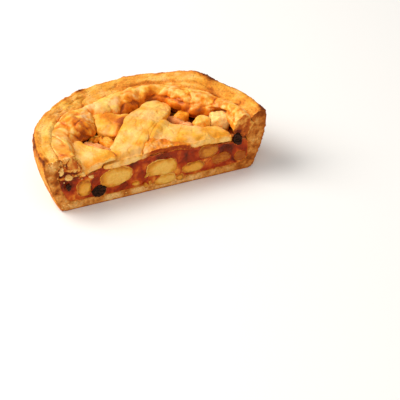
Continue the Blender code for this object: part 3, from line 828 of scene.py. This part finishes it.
def add_lump(heap, place, half_sizes, turn, seed, rounds=3):
    """One rough lump in millimetres, pressed into whatever is at its place."""
    ball = bmesh.ops.create_icosphere(heap, subdivisions=rounds, radius=1)["verts"]
    for vert in ball:
        vert.co *= 1 + ROUGHNESS * bumps(vert.co, 0.9, 4, seed * 7)
    stretched = Matrix.Diagonal((*half_sizes, 1))
    turned = Matrix.Rotation(math.radians(turn), 4, "Y")
    placed = Matrix.Scale(MM, 4) @ Matrix.Translation(place) @ turned @ stretched
    bmesh.ops.transform(heap, verts=ball, matrix=placed)


def depth_finder(pieces):
    """A function that tells at which y the pieces' cut surface lies, or None where there is none."""
    joined = bmesh.new()
    for piece in pieces:
        joined.from_mesh(piece.data)
    tree = BVHTree.FromBMesh(joined)
    joined.free()

    def depth(x, z):
        hit = tree.ray_cast(Vector((x, cut_y - 10, z)) * MM, Vector((0, 1, 0)))[0]
        return hit.y / MM if hit and hit.y / MM < cut_y + DEEPEST else None

    return depth


depth_at = depth_finder([crust, roll_left, strip_left, filling])


def heap_of_lumps(name, table, on_top=(), tiny_areas=()):
    """A piece made of lumps at the cut, lumps on top, and tiny crumbs strewn over areas of the cut."""
    heap = bmesh.new()
    for seed, (*place, half_x, half_y, half_z, turn) in enumerate(on_top):
        add_lump(heap, place, (half_x, half_y, half_z), turn, seed + 20)
    for seed, (x, z, *half_sizes, turn) in enumerate(table):
        add_lump(heap, (x, cut_y + PRESSED_IN * half_sizes[1], z), half_sizes, turn, seed)
    draw = random.Random(STREWN_SEED)
    for left, low, right, high, count in tiny_areas:
        for seed in range(count):
            x, z = draw.uniform(left, right), draw.uniform(low, high)
            size, turn = draw.uniform(*TINY), draw.uniform(0, 180)
            y = depth_at(x, z)
            if y is not None:
                add_lump(heap, (x, y, z), (size, size, size * 0.8), turn, seed + 40, rounds=2)
    for face in heap.faces:
        face.smooth = True
    piece = new_object(name, heap)
    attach(piece, "root")
    print(name, len(piece.data.polygons), "faces")
    return piece


def crumb_rule(spot, normal):
    brown = 0.05 + 0.4 * bumps(spot, 3, 2) + marks_at(spot.xz, TONGUE)
    return 0.2 * bumps(spot, 1.4, 2), brown, 1


def shred_rule(spot, normal):
    on_top = ease(cut_y + 4, cut_y + 8, spot.y)
    return 0.1 * bumps(spot, 1.4, 2), 0.5 + 0.1 * on_top + 0.5 * bumps(spot, 3, 2), 1 - on_top


crumbs = heap_of_lumps("dough_crumbs", DOUGH_LUMPS, tiny_areas=CRUMBLY)
shreds = heap_of_lumps("apple_shreds", APPLE_SHREDS, SHREDS_ON_TOP)
shape_skin(crumbs, crumb_rule, edge_browning=0.3, rounds=2)
shape_skin(shreds, shred_rule)

# %% [markdown]
# Materials share a few effects, and each effect is a node group that is built once. The helper below adds a
# node and fills its inputs, either with numbers or by linking other nodes' outputs.

# %% A helper for shader nodes
def add_node(tree, kind, inputs=None, **settings):
    """Add a shader node, with its settings and its inputs, and return it."""
    made = tree.nodes.new("ShaderNode" + kind)
    for key, value in settings.items():
        setattr(made, key, value)
    for key, value in (inputs or {}).items():
        if isinstance(value, bpy.types.NodeSocket):
            tree.links.new(value, made.inputs[key])
        else:
            made.inputs[key].default_value = value
    return made


def maths(tree, operation, *values, clamped=False):
    """Reckon with numbers and other nodes' outputs."""
    return add_node(tree, "Math", dict(enumerate(values)), operation=operation, use_clamp=clamped).outputs[0]


def new_effect(name, takes, build):
    """A node group with number inputs. The build function adds its nodes and names its outputs."""
    tree = bpy.data.node_groups.new(name, "ShaderNodeTree")
    for label in takes:
        tree.interface.new_socket(label, in_out="INPUT", socket_type="NodeSocketFloat")
    gives = build(tree, tree.nodes.new("NodeGroupInput").outputs)
    for label in gives:
        tree.interface.new_socket(label, in_out="OUTPUT", socket_type="NodeSocketFloat")
    result = tree.nodes.new("NodeGroupOutput")
    for label, value in gives.items():
        tree.links.new(value, result.inputs[label])
    return tree


def sized(tree, size):
    """Inputs that give a texture on Object coordinates a pattern of that size in millimetres."""
    return {"Vector": add_node(tree, "TexCoord").outputs["Object"],
            "Scale": maths(tree, "DIVIDE", 1 / MM, size)}


def swing(tree, pattern, amount, level, clamped=False):
    """A level that noise moves up and down by an amount."""
    return maths(tree, "MULTIPLY_ADD", maths(tree, "SUBTRACT", pattern, 0.5), amount, level, clamped=clamped)


# %% [markdown]
# Grain is the sandy surface of baked flour and sugar: fine noise that darkens and lightens the colour a bit,
# and a height that catches the light. Freckles are the small dark specks of cinnamon and burnt sugar.

# %% Effect: grain
def build_grain(tree, given):
    fine = add_node(tree, "TexNoise", {**sized(tree, given["Size"]), "Detail": 5.0, "Roughness": 0.65})
    height = fine.outputs["Fac"]
    return {"Shade": swing(tree, height, given["Amount"], 1.0), "Height": height}


def build_freckles(tree, given):
    cells = add_node(tree, "TexVoronoi", sized(tree, given["Spacing"]))
    speck = add_node(tree, "MapRange", {"Value": cells.outputs["Distance"], "From Min": given["Share"],
                                        "From Max": 0.0})
    return {"Mask": speck.outputs["Result"]}


grain = new_effect("grain", ("Size", "Amount"), build_grain)
freckles = new_effect("freckles", ("Spacing", "Share"), build_freckles)

# %% [markdown]
# Browning turns a number into an oven colour: pale dough, gold, orange-brown and at last dark brown.
# The number is the point's own browning with some noise, so that the borders between colours are ragged.

# %% Effect: browning
def build_browning(tree, given):
    patch = add_node(tree, "TexNoise", {**sized(tree, given["Patch size"]), "Detail": 6.0, "Roughness": 0.6})
    return {"Level": swing(tree, patch.outputs["Fac"], given["Patch amount"], given["Browned"], clamped=True)}


browning = new_effect("browning", ("Browned", "Patch size", "Patch amount"), build_browning)

# %% [markdown]
# Egg wash dries unevenly, and dough has paler, slightly pink places. So the skin's colour drifts between a
# yellow tint and a pink one in soft patches.

# %% Effect: mottle
YELLOW_TINT = (1.0, 1.0, 0.42, 1.0)
PINK_TINT = (1.0, 0.88, 1.1, 1.0)


def build_mottle(tree, given):
    drift = add_node(tree, "TexNoise", {**sized(tree, given["Size"]), "Detail": 4.0, "Roughness": 0.55,
                                        "Distortion": 0.6})
    mask = add_node(tree, "MapRange", {"Value": drift.outputs["Fac"], "From Min": 0.38, "From Max": 0.62})
    return {"Mask": mask.outputs["Result"]}


mottle = new_effect("mottle", ("Size",), build_mottle)


def use(tree, effect, inputs):
    """Place a shared effect in a material."""
    return add_node(tree, "Group", inputs, node_tree=effect)


def ramp(tree, level, stops):
    """A colour ramp with a stop for each (place, colour)."""
    made = add_node(tree, "ValToRGB", {"Fac": level})
    elements = made.color_ramp.elements
    while len(elements) < len(stops):
        elements.new(0.5)
    for element, (place, colour) in zip(elements, stops):
        element.position = place
        element.color = (*colour, 1.0)
    return made.outputs["Color"]


def mix(tree, share, first, second, blend="MIX"):
    """Mix two colours. The inputs 6 and 7 and the output 2 of this node are those for colours."""
    made = add_node(tree, "Mix", {0: share, 6: first, 7: second}, data_type="RGBA", blend_type=blend)
    return made.outputs[2]


# %% [markdown]
# All dough shares one recipe: oven colours on the skin, crumb colours where the knife went, grain over both,
# freckles, and a gloss for the egg brushed on. Crust, rolls, strips and flake differ in values only.

# %% Dough materials
# A white world would lay a bluish haze on these warm dark colours, so the reflection is tinted a little
SHINE_TINT = (1.0, 0.72, 0.42, 1.0)
DRIFT_SIZE = 13.0
SPECK_SPACING, SPECK_STRENGTH, SPECK_COLOUR = 3.2, 0.75, (0.12, 0.035, 0.008, 1.0)
# The roughness of laid-open crumb, and how much the grain changes the roughness
CRUMB_ROUGH, GRAIN_ROUGH = 0.85, 0.3
DOUGH_GLOW, DOUGH_GLOW_REACH = 0.08, (0.004, 0.002, 0.001)


def begin_finish(name, patch, patch_amount):
    """A new material, its node tree, its crumb attribute, and the oven level of each point."""
    finish = bpy.data.materials.new(name)
    finish.use_nodes = True
    tree = finish.node_tree
    browned = add_node(tree, "Attribute", attribute_name="browned").outputs["Fac"]
    opened = add_node(tree, "Attribute", attribute_name="crumb").outputs["Fac"]
    level = use(tree, browning, {"Browned": browned, "Patch size": patch, "Patch amount": patch_amount})
    return finish, tree, opened, level.outputs["Level"]


def grainy(tree, colour, size, amount):
    """The colour darkened and lightened by grain, and the height of that grain."""
    grains = use(tree, grain, {"Size": size, "Amount": amount})
    shade = add_node(tree, "CombineColor", {channel: grains.outputs["Shade"] for channel in range(3)})
    return mix(tree, 1.0, colour, shade.outputs[0], "MULTIPLY"), grains.outputs["Height"]


def end_finish(tree, colour, roughness, height, strength, depth, shine, glow, reach):
    """Link what varies to the shader, and set what doesn't."""
    shader = tree.nodes["Principled BSDF"]
    relief = add_node(tree, "Bump", {"Height": height, "Strength": strength, "Distance": depth * MM})
    tree.links.new(colour, shader.inputs["Base Color"])
    tree.links.new(roughness, shader.inputs["Roughness"])
    tree.links.new(relief.outputs["Normal"], shader.inputs["Normal"])
    for label, value in (("Specular IOR Level", shine), ("Specular Tint", SHINE_TINT),
                         ("Subsurface Weight", glow), ("Subsurface Radius", reach),
                         ("Subsurface Scale", 1.0)):
        shader.inputs[label].default_value = value


def dough(name, skin, crumb, gloss, shine, sand, patch=7.0, patch_amount=0.35, freckle=0.14, tinted=0.8):
    """Baked dough. The three numbers of sand are the size of its grain, its share of shade and its depth."""
    grain_size, grain_amount, grain_depth = sand
    finish, tree, opened, level = begin_finish(name, patch, patch_amount)
    drift = use(tree, mottle, {"Size": DRIFT_SIZE}).outputs["Mask"]
    tint = mix(tree, drift, YELLOW_TINT, PINK_TINT)
    surface = mix(tree, tinted, ramp(tree, level, skin), tint, "MULTIPLY")
    colour = mix(tree, opened, surface, ramp(tree, level, crumb))
    colour, height = grainy(tree, colour, grain_size, grain_amount)
    specks = use(tree, freckles, {"Spacing": SPECK_SPACING, "Share": freckle})
    dark = maths(tree, "MULTIPLY", specks.outputs["Mask"], SPECK_STRENGTH, clamped=True)
    colour = mix(tree, dark, colour, SPECK_COLOUR)
    rough = add_node(tree, "MapRange", {"Value": opened, "To Min": gloss, "To Max": CRUMB_ROUGH})
    rough = maths(tree, "MULTIPLY_ADD", height, GRAIN_ROUGH, rough.outputs["Result"])
    rough = maths(tree, "SUBTRACT", rough, GRAIN_ROUGH / 2, clamped=True)
    end_finish(tree, colour, rough, height, 0.7, grain_depth, shine, DOUGH_GLOW, DOUGH_GLOW_REACH)
    return finish


CRUST_SKIN = ((0, (0.92, 0.53, 0.15)), (0.3, (0.84, 0.36, 0.05)), (0.65, (0.6, 0.175, 0.018)),
              (1, (0.16, 0.03, 0.006)))
CRUMB = ((0, (0.92, 0.54, 0.19)), (0.4, (0.73, 0.29, 0.055)), (0.7, (0.5, 0.13, 0.015)),
         (1, (0.26, 0.05, 0.006)))
TORN_CRUMB = ((0, (0.97, 0.59, 0.19)), (0.35, (0.82, 0.36, 0.06)), (0.6, (0.52, 0.1, 0.008)),
              (1, (0.12, 0.008, 0.003)))
GLAZED = ((0, (0.95, 0.57, 0.18)), (0.25, (0.91, 0.4, 0.06)), (0.5, (0.82, 0.24, 0.01)),
          (0.75, (0.66, 0.14, 0.004)), (1, (0.34, 0.06, 0.003)))
PALE = ((0, (0.95, 0.585, 0.18)), (0.16, (0.93, 0.5, 0.125)), (0.4, (0.9, 0.4, 0.035)),
        (0.7, (0.76, 0.22, 0.01)), (1, (0.4, 0.07, 0.005)))
PALE_CRUMB = ((0, (0.97, 0.62, 0.22)), (0.5, (0.84, 0.36, 0.05)), (1, (0.46, 0.1, 0.01)))
FLAKE_CRUMB = ((0, (0.93, 0.54, 0.18)), (0.5, (0.62, 0.15, 0.01)), (1, (0.32, 0.03, 0.003)))
BROWNED = ((0, (0.95, 0.56, 0.2)), (0.3, (0.86, 0.29, 0.015)), (0.6, (0.68, 0.14, 0.005)),
           (1, (0.22, 0.02, 0.003)))

crust_finish = dough("shortcrust", CRUST_SKIN, CRUMB, 0.8, 0.2, (1.7, 1.3, 1.0), 6.0, 0.6, freckle=0.22,
                     tinted=0.4)
roll_finish = dough("egg_washed_roll", GLAZED, TORN_CRUMB, 0.36, 0.4, (2.0, 0.6, 0.35), 5.0, 0.5,
                    freckle=0.12)
strip_finish = dough("pale_lattice", PALE, PALE_CRUMB, 0.34, 0.45, (2.0, 0.7, 0.45), 8.0, 0.45, freckle=0.12,
                     tinted=0.5)
flake_finish = dough("browned_pastry", BROWNED, FLAKE_CRUMB, 0.36, 0.35, (1.5, 0.4, 0.2))



def dress(pieces, finish):
    """Give pieces their material."""
    for piece in pieces:
        piece.data.materials.append(finish)


dress([crust], crust_finish)
dress([roll_left, roll_back, crumbs], roll_finish)
dress([strip_left, strip_over, strip_under], strip_finish)
dress([flake], flake_finish)

# %% [markdown]
# Jelly and fruit are wet and let light in. Subsurface scattering does that, with a radius of a few
# millimetres in red, less in green and blue, and a low roughness makes them shine.

# %% Fruit materials
PULP_SIZE = 2.0
FRUIT_PATCH, FRUIT_PATCH_AMOUNT = 5.0, 0.5
FRUIT_GLOW_REACH = (0.004, 0.002, 0.0008)


def fruit(name, surface, inside, gloss, shine, glow, grain_amount=0.3, depth=0.15):
    """Wet fruit: its colours on top and at the cut, then how it shines and lets light in."""
    finish, tree, opened, level = begin_finish(name, FRUIT_PATCH, FRUIT_PATCH_AMOUNT)
    colour = mix(tree, opened, ramp(tree, level, surface), ramp(tree, level, inside))
    colour, height = grainy(tree, colour, PULP_SIZE, grain_amount)
    wet = add_node(tree, "MapRange", {"Value": height, "From Min": 0.3, "From Max": 0.7,
                                      "To Min": gloss - 0.1, "To Max": gloss + 0.15})
    end_finish(tree, colour, wet.outputs["Result"], height, 0.5, depth, shine, glow, FRUIT_GLOW_REACH)
    return finish


JELLY_TOP = ((0, (0.78, 0.3, 0.09)), (0.3, (0.58, 0.15, 0.025)), (0.6, (0.3, 0.04, 0.005)),
             (1, (0.05, 0.005, 0.002)))
JELLY_CUT = ((0, (0.82, 0.29, 0.03)), (0.25, (0.6, 0.1, 0.007)), (0.55, (0.38, 0.026, 0.002)),
             (1, (0.1, 0.008, 0.001)))
APPLE_TOP = ((0, (0.98, 0.6, 0.2)), (0.3, (0.95, 0.48, 0.08)), (0.6, (0.88, 0.29, 0.012)),
             (1, (0.56, 0.13, 0.006)))
APPLE_CUT = ((0, (0.88, 0.49, 0.09)), (0.5, (0.78, 0.31, 0.022)), (1, (0.42, 0.09, 0.006)))
RAISIN_SKIN = ((0, (0.004, 0.0006, 0.0005)), (1, (0.035, 0.007, 0.003)))

jelly_finish = fruit("cinnamon_jelly", JELLY_TOP, JELLY_CUT, 0.14, 0.24, 0.15, grain_amount=0.2, depth=0.2)
apple_finish = fruit("stewed_apple", APPLE_TOP, APPLE_CUT, 0.25, 0.3, 0.45, grain_amount=0.2)
raisin_finish = fruit("raisin_wrinkles", RAISIN_SKIN, RAISIN_SKIN, 0.25, 0.16, 0.0)

dress([filling], jelly_finish)
dress(apples + [shreds], apple_finish)
dress(raisins, raisin_finish)

# %% Sizes
print("solids", [round(part / MM, 1) for part in cad_box[1] - cad_box[0]], "mm")
